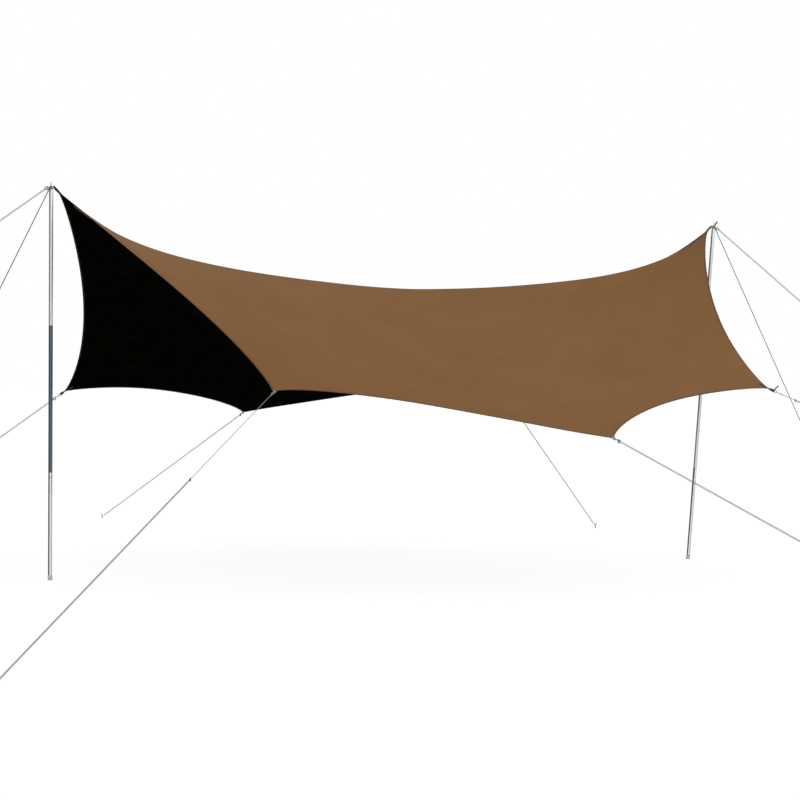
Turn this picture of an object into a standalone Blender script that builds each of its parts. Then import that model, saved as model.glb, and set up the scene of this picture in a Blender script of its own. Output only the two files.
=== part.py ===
"""Eight-cornered tarp shelter: a cloth on two poles, held out by ten guy lines to pegs.

Metres, +Z up. The ridge runs along X from one pole top to the other, and -Y is the near side.
The origin is on the ground, in the middle of the pegged layout.
"""

import math

import bmesh
import bpy
import numpy as np
from mathutils import Matrix, Vector

# Gap between pieces that touch
FIT_GAP = 0.0003
# Edges turned by more than this are shaded sharp
SHARP_ANGLE = math.radians(40)
# Points closer than these are one point, on a bar's ends and on a turned shape's axis
BAR_MERGE = 0.00001
TURNED_MERGE = 0.0001

# Poles: each has three tube lengths, a rubber foot and a pin on top
POLE_LENGTH = 2.80
POLE_RADIUS = 0.015
POLE_WALL = 0.0012
POLE_JOINTS = (0.77, 1.82)
SPIGOT_LENGTH = 0.075
SHOULDER_CHAMFER = 0.002
CAP_THICKNESS = 0.006
PIN_RADIUS = 0.004
PIN_LENGTH = 0.045
PIN_CHAMFER = 0.0024
SPIGOT_SPACE = 0.0004
ROUND_SIDES = 20
# Foot and top of each pole in plan: the right one leans outwards
POLE_FEET = {"left": (-2.906, 0.0), "right": (2.755, 0.0)}
POLE_TOPS = {"left": (-2.935, 0.0), "right": (2.97, 0.0)}
# The left pole's middle length has a dark slate finish, and the right one's is plain
MIDDLE_METALS = {"left": "slate_steel", "right": "grey_steel"}
FOOT_RADIUS = 0.017
FOOT_HEIGHT = 0.036
FOOT_FLOOR = 0.010
FOOT_EDGE = 0.0008
FOOT_BELOW = 0.004

# Canopy: the middle of each cut-off cloth tip
CLOTH_THICKNESS = 0.003
TIP_HALF_WIDTH = 0.018
PEAK_TIPS = {"left": (-2.870, 0.0, 2.760), "right": (2.900, 0.0, 2.755)}
CORNER_TIPS = {
    "near_left": (-2.07, -1.88, 1.38),
    "near_middle": (-0.01, -2.81, 1.10),
    "near_right": (2.05, -1.90, 1.44),
    "far_left": (-2.09, 1.87, 1.34),
    "far_middle": (-0.03, 2.83, 1.168),
    "far_right": (2.07, 1.88, 1.39),
}
# The ridge sags between the peaks, gently in the middle and steeply near the ends
RIDGE_MIDDLE = (0.05, 0.0, 2.176)
# Each half's climb to its peak: the gentle part's share and power, then the steep part's power
RIDGE_CLIMBS = {"left": (0.50, 1.71, 6.5), "right": (0.53, 1.51, 6.2)}
# Each cut edge is hollow: its depth, and how far its deepest place leans to its second end
EDGE_HOLLOWS = {
    ("left", "near_left"): (0.099, 0.64),
    ("near_left", "near_middle"): (0.104, -0.95),
    ("near_middle", "near_right"): (0.186, -0.07),
    ("right", "near_right"): (0.200, 0.24),
    ("left", "far_left"): (0.163, 0.27),
    ("far_left", "far_middle"): (0.222, -0.20),
    ("far_middle", "far_right"): (0.205, 0.55),
    ("right", "far_right"): (0.10, 0.92),
}
HOLLOW_POWER = 0.8
# The hollows are drawn in towards this place on each side of the ridge
SIDE_HUB = (0.0, 1.0, 1.95)
# Tension along the ridge as a share of the tension down each side
PULL_ALONG = 0.3
WIDTHS_PER_SIDE = 4
CELLS_PER_WIDTH = 4
CELLS_DOWN_SIDE = 8
SEAM_SETBACK = 0.0004
RIDGE_SETBACK = 0.0013

# Webbing straps, rings and guy lines
STRAP_WIDTH = 0.025
STRAP_THICKNESS = 0.003
CORNER_STRAP_WIDTH = 0.020
CORNER_STRAP_THICKNESS = 0.010
STRAP_LENGTHS = {
    "near_left": 0.020,
    "near_middle": 0.020,
    "near_right": 0.045,
    "far_left": 0.045,
    "far_middle": 0.020,
    "far_right": 0.045,
}
DARK_STRAPS = ("near_right", "far_left", "far_right")
STRAP_SPACE = 0.0006
EYELET_BEHIND_PIN = 0.014
EYELET_BEYOND_PIN = 0.017
EYELET_HOLE_DEPTH = 0.018
RING_RADIUS = 0.010
RING_WIRE = 0.002
RING_WIRE_SIDES = 8
RING_SINK = 0.002
CORD_RADIUS = 0.0025
EYE_HEIGHT = 2 * CORD_RADIUS + FIT_GAP
EYE_RADIUS = 0.008
EYE_OPENING = math.radians(35)
EYE_STEPS = 10
EYE_NECK = 0.021
SLIDER_SIDES = 3
SLIDER_RADIUS = 0.018
SLIDER_THICKNESS = 0.007
# Where each guy's slider sits, measured from its upper eye
SLIDER_PLACES = {"near_left": 1.72, "near_right": 0.13}
SLIDER_PLACE = 0.018

# Pegs: only what stands above the ground is made
PEG_RADIUS = 0.004
PEG_STEM = 0.046
PEG_LEAN = math.radians(20)
PEG_HOOK_RADIUS = 0.010
PEG_HOOK_TURN = math.radians(165)
PEG_HOOK_STEPS = 7
PEG_BELOW = 0.020
PEG_EYE_HEIGHT = 0.020
CORNER_PEGS = {
    "near_left": (-5.12, -5.14),
    "near_middle": (0.01, -6.50),
    "near_right": (4.42, -4.20),
    "far_left": (-3.50, 3.12),
    "far_middle": (0.13, 6.50),
    "far_right": (4.30, 3.60),
}
POLE_PEGS = {
    ("left", "near"): (-5.10, -2.34),
    ("left", "far"): (-6.10, 2.78),
    ("right", "near"): (5.66, -1.79),
    ("right", "far"): (6.10, 1.81),
}
GROUND_REACH = 7.0
GROUND_DEPTH = 0.1


def finish(name, colour, roughness, metallic=0.0):
    """A material of one colour and gloss."""
    made = bpy.data.materials.new(name)
    made.use_nodes = True
    shader = made.node_tree.nodes["Principled BSDF"]
    shader.inputs["Base Color"].default_value = (*colour, 1.0)
    shader.inputs["Roughness"].default_value = roughness
    shader.inputs["Metallic"].default_value = metallic
    made.diffuse_color = (*colour, 1.0)
    return made


def place(name, data, material, collection):
    """A new object in a collection."""
    made = bpy.data.objects.new(name, data)
    collection.objects.link(made)
    if material is not None:
        data.materials.append(material)
    return made


def place_cutter(name, data, collection):
    """A hidden shape that cuts or joins another."""
    made = place(name, data, None, collection)
    made.hide_render = True
    made.display_type = "WIRE"
    return made


def mesh_from(build):
    """A mesh filled in by a function that takes a bmesh."""
    shape = bmesh.new()
    build(shape)
    mesh = bpy.data.meshes.new("shape")
    shape.to_mesh(mesh)
    shape.free()
    return mesh


def shade_round(mesh):
    """Smooth shading that keeps the real edges sharp."""
    mesh.shade_smooth()
    mesh.set_sharp_from_angle(angle=SHARP_ANGLE)


def unit(vector):
    return Vector(vector).normalized()


def add_boolean(obj, other, operation):
    cut = obj.modifiers.new(operation.lower(), "BOOLEAN")
    cut.operation = operation
    cut.solver = "EXACT"
    cut.object = other


def tube(name, points, radius, material, collection):
    """A round bar or cord along points, as a closed mesh."""
    curve = bpy.data.curves.new(name, "CURVE")
    curve.dimensions = "3D"
    curve.bevel_depth = radius
    curve.bevel_resolution = 2
    curve.use_fill_caps = True
    line = curve.splines.new("POLY")
    line.points.add(len(points) - 1)
    for spot, point in zip(line.points, points):
        spot.co = (*point, 1.0)
    drawn = place(name + "_path", curve, None, collection)
    bpy.context.view_layer.update()
    evaluated = drawn.evaluated_get(bpy.context.evaluated_depsgraph_get())
    mesh = bpy.data.meshes.new_from_object(evaluated)
    shape = bmesh.new()
    shape.from_mesh(mesh)
    bmesh.ops.remove_doubles(shape, verts=shape.verts, dist=BAR_MERGE)
    shape.to_mesh(mesh)
    shape.free()
    made = place(name, mesh, material, collection)
    made.matrix_world = drawn.matrix_world
    bpy.data.objects.remove(drawn)
    shade_round(mesh)
    return made


def turned(name, profile, frame, material, collection):
    """A closed shape turned about Z from a profile of (radius, height) points."""

    def draw(shape):
        spots = [shape.verts.new((radius, 0.0, height)) for radius, height in profile]
        for first, second in zip(spots, spots[1:]):
            shape.edges.new((first, second))

    made = place(name, mesh_from(draw), material, collection)
    made.matrix_world = frame
    screw = made.modifiers.new("turn", "SCREW")
    screw.steps = ROUND_SIDES
    screw.render_steps = ROUND_SIDES
    screw.use_merge_vertices = True
    screw.merge_threshold = TURNED_MERGE
    screw.use_smooth_shade = True
    return made


# Poles


def pole_frame(side):
    """The pole's own axes: +Z up the pole, +X towards the canopy, origin at its foot."""
    foot_x, foot_y = POLE_FEET[side]
    top_x, top_y = POLE_TOPS[side]
    rise = math.sqrt(POLE_LENGTH**2 - (top_x - foot_x) ** 2 - (top_y - foot_y) ** 2)
    up = unit((top_x - foot_x, top_y - foot_y, rise))
    inwards = Vector((1.0 if side == "left" else -1.0, 0.0, 0.0))
    across = up.cross(inwards).normalized()
    forwards = across.cross(up)
    frame = Matrix((forwards, across, up)).transposed().to_4x4()
    frame.translation = (foot_x, foot_y, 0.0)
    return frame


def tube_length(bottom, top, has_spigot, closed_top):
    """The profile of one pole length, listed from the top down its outer side."""
    bore = POLE_RADIUS - POLE_WALL
    if closed_top:
        outer = [
            (0.0, top + PIN_LENGTH),
            (PIN_RADIUS - PIN_CHAMFER, top + PIN_LENGTH),
            (PIN_RADIUS, top + PIN_LENGTH - PIN_CHAMFER),
            (PIN_RADIUS, top),
            (POLE_RADIUS - SHOULDER_CHAMFER, top),
            (POLE_RADIUS, top - SHOULDER_CHAMFER),
            (POLE_RADIUS, bottom),
        ]
        inner_end = [(bore, top - CAP_THICKNESS), (0.0, top - CAP_THICKNESS)]
    else:
        outer = [(POLE_RADIUS, top), (POLE_RADIUS, bottom)]
        inner_end = [(bore, top), (POLE_RADIUS, top)]
    if not has_spigot:
        return outer + [(bore, bottom)] + inner_end
    spigot = bore - SPIGOT_SPACE
    spigot_bore = spigot - POLE_WALL
    tail = [
        (spigot, bottom),
        (spigot, bottom - SPIGOT_LENGTH),
        (spigot_bore, bottom - SPIGOT_LENGTH),
        (spigot_bore, bottom + POLE_WALL),
        (bore, bottom + 2 * POLE_WALL),
    ]
    return outer + tail + inner_end


def foot_profile():
    """A rubber cup, a little longer than it shows, because the ground cuts it level."""
    bore = POLE_RADIUS + FIT_GAP
    return [
        (0.0, FOOT_FLOOR),
        (bore, FOOT_FLOOR),
        (bore, FOOT_HEIGHT),
        (FOOT_RADIUS - FOOT_EDGE, FOOT_HEIGHT),
        (FOOT_RADIUS, FOOT_HEIGHT - FOOT_EDGE),
        (FOOT_RADIUS, -FOOT_BELOW),
        (0.0, -FOOT_BELOW),
    ]


def make_pole(side, materials, parts, ground):
    frame = pole_frame(side)
    low_joint, high_joint = POLE_JOINTS
    lengths = (
        ("lower", FOOT_FLOOR + FIT_GAP, low_joint - FIT_GAP, False, False, "bright_steel"),
        ("middle", low_joint, high_joint - FIT_GAP, True, False, MIDDLE_METALS[side]),
        ("upper", high_joint, POLE_LENGTH, True, True, "grey_steel"),
    )
    for name, bottom, top, has_spigot, closed_top, metal in lengths:
        profile = tube_length(bottom, top, has_spigot, closed_top)
        turned(f"pole_{side}_{name}", profile, frame, materials[metal], parts)
    foot = turned(f"pole_{side}_foot", foot_profile(), frame, materials["rubber"], parts)
    add_boolean(foot, ground, "DIFFERENCE")


# Directions at the cloth tips


def pull_direction(corner):
    """The way a corner's strap and guy line pull: from the cloth tip to the peg's eye."""
    tip = Vector(CORNER_TIPS[corner])
    return unit(peg_eye(CORNER_PEGS[corner], tip) - tip)


def tip_across(name):
    """The level direction along a cut-off cloth tip."""
    if name in PEAK_TIPS:
        return Vector((0.0, 1.0, 0.0))
    return unit(Vector((0.0, 0.0, 1.0)).cross(pull_direction(name)))


def tip_middle(name):
    return Vector(PEAK_TIPS[name] if name in PEAK_TIPS else CORNER_TIPS[name])


def tip_end(name, other):
    """The end of a cloth tip that the edge towards another corner starts from."""
    across = tip_across(name)
    towards = tip_middle(other) - tip_middle(name)
    return tip_middle(name) + across * math.copysign(TIP_HALF_WIDTH, across.dot(towards))


# Canopy


def ridge_point(share):
    """A point on the ridge line, share 0 at the left peak tip and 1 at the right one."""
    left, right = Vector(PEAK_TIPS["left"]), Vector(PEAK_TIPS["right"])
    middle = Vector(RIDGE_MIDDLE)
    x = left.x + (right.x - left.x) * share
    peak = left if x < middle.x else right
    gentle_share, gentle_power, steep_power = RIDGE_CLIMBS["left" if x < middle.x else "right"]
    reach = abs((x - middle.x) / (peak.x - middle.x))
    climb = gentle_share * reach**gentle_power + (1 - gentle_share) * reach**steep_power
    return np.array((x, 0.0, middle.z + (peak.z - middle.z) * climb))


def edge_point(first, second, share):
    """A point on a hollow cut edge between two cloth tips, at a share of the way along."""
    key = (first, second)
    turned_round = key not in EDGE_HOLLOWS
    if turned_round:
        first, second, share = second, first, 1 - share
        key = (first, second)
    depth, lean = EDGE_HOLLOWS[key]
    start, end = tip_end(first, second), tip_end(second, first)
    hub_x, hub_y, hub_z = SIDE_HUB
    hub = Vector((hub_x, math.copysign(hub_y, start.y + end.y), hub_z))
    chord = (end - start).normalized()
    inwards = hub - (start + end) / 2
    inwards = (inwards - chord * inwards.dot(chord)).normalized()
    drawn_in = depth * (4 * share * (1 - share)) ** HOLLOW_POWER * (1 + lean * (2 * share - 1))
    return np.array(start.lerp(end, share) + inwards * drawn_in)


def spaced(cells, tip_share):
    """Even shares from 0 to 1, with one more close to each end for the cut-off tips."""
    even = np.linspace(0.0, 1.0, cells + 1)
    return np.concatenate(([0.0, tip_share], even[1:-1], [1 - tip_share, 1.0]))


def second_difference(shares, length):
    """The second derivative at the inner ones of uneven samples, as a matrix."""
    steps = np.diff(shares) * length
    rows = np.zeros((len(shares) - 2, len(shares)))
    for i, (before, after) in enumerate(zip(steps, steps[1:])):
        rows[i, i] = 2 / (before * (before + after))
        rows[i, i + 2] = 2 / (after * (before + after))
        rows[i, i + 1] = -rows[i, i] - rows[i, i + 2]
    return rows


def stretch_net(net, down, along):
    """Pulls the inner points of a net taut between its fixed edges."""
    down_inner, along_inner = down[:, 1:-1], along[:, 1:-1]
    down_values, down_modes = np.linalg.eig(down_inner)
    along_values, along_modes = np.linalg.eig(along_inner)
    for axis in range(3):
        sheet = net[:, :, axis].copy()
        sheet[1:-1, 1:-1] = 0.0
        pull = -(down @ sheet[:, 1:-1] + sheet[1:-1, :] @ along.T)
        modes = np.linalg.solve(down_modes, pull) @ np.linalg.inv(along_modes).T
        modes = modes / (down_values[:, None] + along_values[None, :])
        net[1:-1, 1:-1, axis] = np.real(down_modes @ modes @ along_modes.T)


def side_net(side):
    """Points of one side of the canopy, [row down from the ridge][place along it]."""
    left, middle, right = f"{side}_left", f"{side}_middle", f"{side}_right"
    ridge_length = PEAK_TIPS["right"][0] - PEAK_TIPS["left"][0]
    drop_length = (Vector(CORNER_TIPS[middle]) - Vector(RIDGE_MIDDLE)).length
    half = spaced(WIDTHS_PER_SIDE * CELLS_PER_WIDTH // 2, 2 * TIP_HALF_WIDTH / ridge_length)
    along_shares = np.concatenate((half / 2, 0.5 + half[1:] / 2))
    down_shares = spaced(CELLS_DOWN_SIDE, TIP_HALF_WIDTH / drop_length)
    rows, columns = len(down_shares), len(along_shares)
    net = np.zeros((rows, columns, 3))
    net[0] = [ridge_point(share) for share in along_shares]
    edges = (
        (net[-1, : len(half)], half, left, middle),
        (net[-1, len(half) - 1 :], half, middle, right),
        (net[:, 0], down_shares, "left", left),
        (net[:, -1], down_shares, "right", right),
    )
    for line, shares, first, second in edges:
        line[0], line[-1] = tip_middle(first), tip_middle(second)
        inner = (shares[1:-1] - shares[1]) / (shares[-2] - shares[1])
        line[1:-1] = [edge_point(first, second, share) for share in inner]
    down = second_difference(down_shares, drop_length)
    along = second_difference(along_shares, ridge_length)
    stretch_net(net, down, PULL_ALONG * along)
    seam_shares = np.linspace(0.0, 1.0, WIDTHS_PER_SIDE + 1)
    seams = [int(np.argmin(abs(along_shares - share))) for share in seam_shares]
    return net, seams


def set_back(line, inner, distance):
    """Moves a row of points towards the next row by a distance."""
    towards = inner - line
    lengths = np.linalg.norm(towards, axis=1, keepdims=True)
    return line + towards * (distance / lengths)


def make_canopy(side, material, parts):
    """The cloth widths of one side, each a thin closed sheet."""
    net, seams = side_net(side)
    for number, (first, last) in enumerate(zip(seams, seams[1:]), start=1):
        width = net[:, first : last + 1].copy()
        width[0] = set_back(width[0], width[1], RIDGE_SETBACK)
        if first > 0:
            width[:, 0] = set_back(width[:, 0], width[:, 1], SEAM_SETBACK)
        if last < net.shape[1] - 1:
            width[:, -1] = set_back(width[:, -1], width[:, -2], SEAM_SETBACK)

        def draw(shape, width=width):
            spots = [[shape.verts.new(point) for point in row] for row in width]
            for upper, lower in zip(spots, spots[1:]):
                for a, b, c, d in zip(upper, upper[1:], lower[1:], lower):
                    shape.faces.new((a, b, c, d) if side == "far" else (d, c, b, a))

        made = place(f"canopy_{side}_{number}", mesh_from(draw), material, parts)
        made.data.shade_smooth()
        shell = made.modifiers.new("thickness", "SOLIDIFY")
        shell.thickness = CLOTH_THICKNESS
        shell.offset = 0.0


# Straps and rings


def ribbon(name, path, across, width, thickness, material, collection):
    """A flat strap along a path, as a sheet with thickness."""
    half = Vector(across) * (width / 2)

    def draw(shape):
        pairs = [(shape.verts.new(p - half), shape.verts.new(p + half)) for p in path]
        for (a, b), (c, d) in zip(pairs, pairs[1:]):
            shape.faces.new((a, b, d, c))

    made = place(name, mesh_from(draw), material, collection)
    shell = made.modifiers.new("thickness", "SOLIDIFY")
    shell.thickness = thickness
    shell.offset = 0.0
    return made


def make_peak_strap(side, material, parts, cutters):
    """The webbing from a peak tip up to its eyelet over the pole's pin."""
    frame = pole_frame(side)
    height = POLE_LENGTH + 2 * EYE_HEIGHT + FIT_GAP + STRAP_THICKNESS / 2
    behind = frame @ Vector((-EYELET_BEHIND_PIN, 0.0, height))
    beyond = frame @ Vector((EYELET_BEYOND_PIN, 0.0, height))
    tip = Vector(PEAK_TIPS[side])
    end = tip + (beyond - tip).normalized() * STRAP_SPACE
    path = [behind, frame @ Vector((0.0, 0.0, height)), beyond, end]
    across = (0.0, 1.0, 0.0)
    name = f"strap_peak_{side}"
    strap = ribbon(name, path, across, STRAP_WIDTH, STRAP_THICKNESS, material, parts)

    def draw(shape):
        bmesh.ops.create_cone(
            shape,
            cap_ends=True,
            segments=ROUND_SIDES,
            radius1=PIN_RADIUS + FIT_GAP,
            radius2=PIN_RADIUS + FIT_GAP,
            depth=EYELET_HOLE_DEPTH,
        )

    hole = place_cutter(f"{name}_hole", mesh_from(draw), cutters)
    hole.matrix_world = frame @ Matrix.Translation((0.0, 0.0, height))
    add_boolean(strap, hole, "DIFFERENCE")


def ring_middle(corner):
    tip = Vector(CORNER_TIPS[corner])
    return tip + pull_direction(corner) * (STRAP_LENGTHS[corner] - RING_SINK + RING_RADIUS)


def make_corner_strap(corner, material, parts, cutters):
    """The webbing at a side corner, standing on edge, with the ring for its guy line."""
    tip, pull, across = Vector(CORNER_TIPS[corner]), pull_direction(corner), tip_across(corner)
    upright = pull.cross(across)
    path = [tip + pull * STRAP_SPACE, tip + pull * STRAP_LENGTHS[corner]]
    name = f"strap_{corner}"
    strap = ribbon(name, path, upright, CORNER_STRAP_WIDTH, CORNER_STRAP_THICKNESS, material, parts)
    bpy.ops.mesh.primitive_torus_add(
        major_radius=RING_RADIUS,
        minor_radius=RING_WIRE,
        major_segments=ROUND_SIDES,
        minor_segments=RING_WIRE_SIDES,
    )
    ring = bpy.context.object
    ring.name = f"{name}_ring"
    for collection in list(ring.users_collection):
        collection.objects.unlink(ring)
    cutters.objects.link(ring)
    ring.hide_render = True
    ring.display_type = "WIRE"
    frame = Matrix((pull, upright, pull.cross(upright))).transposed().to_4x4()
    frame.translation = ring_middle(corner)
    ring.matrix_world = frame
    add_boolean(strap, ring, "UNION")


# Guy lines


def eye_path(middle, outwards, across, radius):
    """An open loop round a pin, ring or peg, from its tail to where the line leaves it."""
    path = []
    for step in range(EYE_STEPS + 1):
        turn = -EYE_OPENING - (2 * math.pi - 2 * EYE_OPENING) * step / EYE_STEPS
        path.append(middle + outwards * math.cos(turn) * radius + across * math.sin(turn) * radius)
    path.append(middle + outwards * EYE_NECK)
    return path


def peg_axis(spot, pulled_from):
    """The peg's own direction, leaning away from the pull, and the level way to the pull."""
    towards = unit((pulled_from.x - spot[0], pulled_from.y - spot[1], 0.0))
    up = Vector((0.0, 0.0, 1.0))
    return (up * math.cos(PEG_LEAN) - towards * math.sin(PEG_LEAN)), towards


def peg_eye(spot, pulled_from):
    """The middle of the guy's eye on the peg's stem."""
    axis, _ = peg_axis(spot, pulled_from)
    return Vector((*spot, 0.0)) + axis * (PEG_EYE_HEIGHT / axis.z)


def make_guy(name, upper_path, spot, slider_place, materials, parts, cutters):
    """One guy line from its upper eye to the eye on its peg, with its slider."""
    start = upper_path[-1]
    axis, towards = peg_axis(spot, start)
    lower = peg_eye(spot, start)
    across = axis.cross(towards).normalized()
    leaving = across.cross(axis)
    lower_path = eye_path(lower, leaving, across, PEG_RADIUS + FIT_GAP + CORD_RADIUS)
    path = upper_path + lower_path[::-1]
    line = tube(name, path, CORD_RADIUS, materials["cord"], parts)
    run = (lower_path[-1] - start).normalized()

    def draw(shape):
        bmesh.ops.create_cone(
            shape,
            cap_ends=True,
            segments=SLIDER_SIDES,
            radius1=SLIDER_RADIUS,
            radius2=SLIDER_RADIUS,
            depth=SLIDER_THICKNESS,
        )

    slider = place_cutter(f"{name}_slider", mesh_from(draw), cutters)
    level = unit(Vector((0.0, 0.0, 1.0)).cross(run))
    frame = Matrix((run, run.cross(level), level)).transposed().to_4x4()
    frame.translation = start + run * slider_place
    slider.matrix_world = frame
    add_boolean(line, slider, "UNION")


def make_corner_guy(corner, materials, parts, cutters):
    pull, across = pull_direction(corner), tip_across(corner)
    rim = ring_middle(corner) + pull * RING_RADIUS
    touch = RING_WIRE + CORD_RADIUS + FIT_GAP
    middle = rim + pull * (EYE_RADIUS - touch)
    path = eye_path(middle, pull, across, EYE_RADIUS)
    place_on_line = SLIDER_PLACES.get(corner, SLIDER_PLACE)
    make_guy(f"guy_{corner}", path, CORNER_PEGS[corner], place_on_line, materials, parts, cutters)


def make_pole_guy(side, row, materials, parts, cutters):
    """A guy line whose eye lies round the pin, under the peak strap."""
    frame = pole_frame(side)
    height = POLE_LENGTH + EYE_HEIGHT - CORD_RADIUS
    if row == "far":
        height += EYE_HEIGHT
    up = Vector(frame.col[2][:3])
    middle = frame @ Vector((0.0, 0.0, height))
    spot = POLE_PEGS[side, row]
    outwards = Vector((spot[0] - middle.x, spot[1] - middle.y, 0.0))
    outwards = (outwards - up * outwards.dot(up)).normalized()
    radius = PIN_RADIUS + FIT_GAP + CORD_RADIUS
    path = eye_path(middle, outwards, up.cross(outwards), radius)
    make_guy(f"guy_{side}_pole_{row}", path, spot, SLIDER_PLACE, materials, parts, cutters)


# Pegs


def make_peg(name, spot, pulled_from, material, parts, ground):
    """A hooked steel peg, leaning away from its guy line and cut off level with the ground."""
    axis, towards = peg_axis(spot, pulled_from)
    foot = Vector((*spot, 0.0))
    away = (axis * axis.dot(towards) - towards).normalized()
    path = [foot - axis * PEG_BELOW, foot + axis * PEG_STEM]
    hook_middle = foot + axis * PEG_STEM + away * PEG_HOOK_RADIUS
    for step in range(1, PEG_HOOK_STEPS + 1):
        turn = PEG_HOOK_TURN * step / PEG_HOOK_STEPS
        swing = axis * math.sin(turn) - away * math.cos(turn)
        path.append(hook_middle + swing * PEG_HOOK_RADIUS)
    peg = tube(name, path, PEG_RADIUS, material, parts)
    add_boolean(peg, ground, "DIFFERENCE")


def build_ground_cutter(cutters):
    """A block under the ground that cuts feet and pegs off level."""

    def draw(shape):
        bmesh.ops.create_cube(shape, size=1.0)
        bmesh.ops.scale(shape, vec=(2 * GROUND_REACH, 2 * GROUND_REACH, GROUND_DEPTH), verts=shape.verts)
        bmesh.ops.translate(shape, vec=(0.0, 0.0, -GROUND_DEPTH / 2), verts=shape.verts)

    return place_cutter("ground_cut", mesh_from(draw), cutters)


def build():
    for obj in list(bpy.data.objects):
        bpy.data.objects.remove(obj, do_unlink=True)
    parts = bpy.data.collections.new("tarp_shelter")
    cutters = bpy.data.collections.new("cutters")
    bpy.context.scene.collection.children.link(parts)
    bpy.context.scene.collection.children.link(cutters)
    materials = {
        "cloth": finish("brown_cloth", (0.197, 0.098, 0.039), 0.75),
        "webbing": finish("dark_webbing", (0.042, 0.038, 0.030), 0.80),
        "pale_webbing": finish("pale_webbing", (0.340, 0.340, 0.330), 0.80),
        "cord": finish("pale_cord", (0.270, 0.270, 0.265), 0.70),
        "bright_steel": finish("bright_steel", (0.840, 0.850, 0.840), 0.26, 1.0),
        "slate_steel": finish("slate_steel", (0.075, 0.115, 0.145), 0.35, 1.0),
        "grey_steel": finish("grey_steel", (0.760, 0.770, 0.780), 0.30, 1.0),
        "rubber": finish("pale_rubber", (0.420, 0.420, 0.400), 0.85),
        "peg_steel": finish("peg_steel", (0.450, 0.450, 0.450), 0.40, 1.0),
    }
    ground = build_ground_cutter(cutters)
    for side in ("near", "far"):
        make_canopy(side, materials["cloth"], parts)
    for side in ("left", "right"):
        make_pole(side, materials, parts, ground)
        make_peak_strap(side, materials["webbing"], parts, cutters)
        for row in ("near", "far"):
            make_pole_guy(side, row, materials, parts, cutters)
            spot = POLE_PEGS[side, row]
            pulled_from = Vector((*POLE_TOPS[side], POLE_LENGTH))
            make_peg(f"peg_{side}_pole_{row}", spot, pulled_from, materials["peg_steel"], parts, ground)
    for corner, spot in CORNER_PEGS.items():
        webbing = materials["webbing" if corner in DARK_STRAPS else "pale_webbing"]
        make_corner_strap(corner, webbing, parts, cutters)
        make_corner_guy(corner, materials, parts, cutters)
        tip = Vector(CORNER_TIPS[corner])
        make_peg(f"peg_{corner}", spot, tip, materials["peg_steel"], parts, ground)


build()
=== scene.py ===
"""The dressed tarp shelter: cloth, tape, webbing, poles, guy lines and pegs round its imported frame."""

import math

import bpy
import numpy as np
from mathutils import Matrix, Vector
from mathutils.bvhtree import BVHTree


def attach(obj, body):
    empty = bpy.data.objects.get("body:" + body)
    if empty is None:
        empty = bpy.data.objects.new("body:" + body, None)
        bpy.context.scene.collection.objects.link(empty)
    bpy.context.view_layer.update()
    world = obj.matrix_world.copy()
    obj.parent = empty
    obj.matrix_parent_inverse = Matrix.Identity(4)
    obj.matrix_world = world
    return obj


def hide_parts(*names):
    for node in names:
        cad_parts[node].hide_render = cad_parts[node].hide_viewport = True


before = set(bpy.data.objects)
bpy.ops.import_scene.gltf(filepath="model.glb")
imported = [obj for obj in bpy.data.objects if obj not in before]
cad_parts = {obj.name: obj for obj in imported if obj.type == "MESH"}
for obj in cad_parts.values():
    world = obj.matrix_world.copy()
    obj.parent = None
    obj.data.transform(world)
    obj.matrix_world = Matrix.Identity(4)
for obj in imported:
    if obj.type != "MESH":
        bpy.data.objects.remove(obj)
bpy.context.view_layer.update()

# Sizes shared with the part's source, in metres
FIT_GAP = 0.0003
POLE_LENGTH = 2.80
POLE_RADIUS = 0.015
POLE_WALL = 0.0012
SPIGOT_SPACE = 0.0004
POLE_JOINTS = (0.77, 1.82)
PIN_RADIUS = 0.004
PIN_LENGTH = 0.045
POLE_FEET = {"left": (-2.906, 0.0), "right": (2.755, 0.0)}
POLE_TOPS = {"left": (-2.935, 0.0), "right": (2.97, 0.0)}
FOOT_RADIUS = 0.017
FOOT_HEIGHT = 0.036
TIP_HALF_WIDTH = 0.018
PEAK_TIPS = {"left": (-2.870, 0.0, 2.760), "right": (2.900, 0.0, 2.755)}
CORNER_TIPS = {
    "near_left": (-2.07, -1.88, 1.38),
    "near_middle": (-0.01, -2.81, 1.10),
    "near_right": (2.05, -1.90, 1.44),
    "far_left": (-2.09, 1.87, 1.34),
    "far_middle": (-0.03, 2.83, 1.168),
    "far_right": (2.07, 1.88, 1.39),
}
RIDGE_MIDDLE = (0.05, 0.0, 2.176)
RIDGE_CLIMBS = {"left": (0.50, 1.71, 6.5), "right": (0.53, 1.51, 6.2)}
EDGE_HOLLOWS = {
    ("left", "near_left"): (0.099, 0.64),
    ("near_left", "near_middle"): (0.104, -0.95),
    ("near_middle", "near_right"): (0.186, -0.07),
    ("right", "near_right"): (0.200, 0.24),
    ("left", "far_left"): (0.163, 0.27),
    ("far_left", "far_middle"): (0.222, -0.20),
    ("far_middle", "far_right"): (0.205, 0.55),
    ("right", "far_right"): (0.10, 0.92),
}
HOLLOW_POWER = 0.8
SIDE_HUB = (0.0, 1.0, 1.95)
PULL_ALONG = 0.3
STRAP_WIDTH = 0.025
STRAP_THICKNESS = 0.003
CORNER_STRAP_WIDTH = 0.020
STRAP_LENGTHS = {
    "near_left": 0.020,
    "near_middle": 0.020,
    "near_right": 0.045,
    "far_left": 0.045,
    "far_middle": 0.020,
    "far_right": 0.045,
}
EYELET_BEHIND_PIN = 0.014
EYELET_BEYOND_PIN = 0.017
RING_RADIUS = 0.010
RING_WIRE = 0.002
RING_SINK = 0.002
CORD_RADIUS = 0.0025
EYE_HEIGHT = 2 * CORD_RADIUS + FIT_GAP
EYE_RADIUS = 0.008
EYE_OPENING = math.radians(35)
EYE_NECK = 0.021
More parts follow.
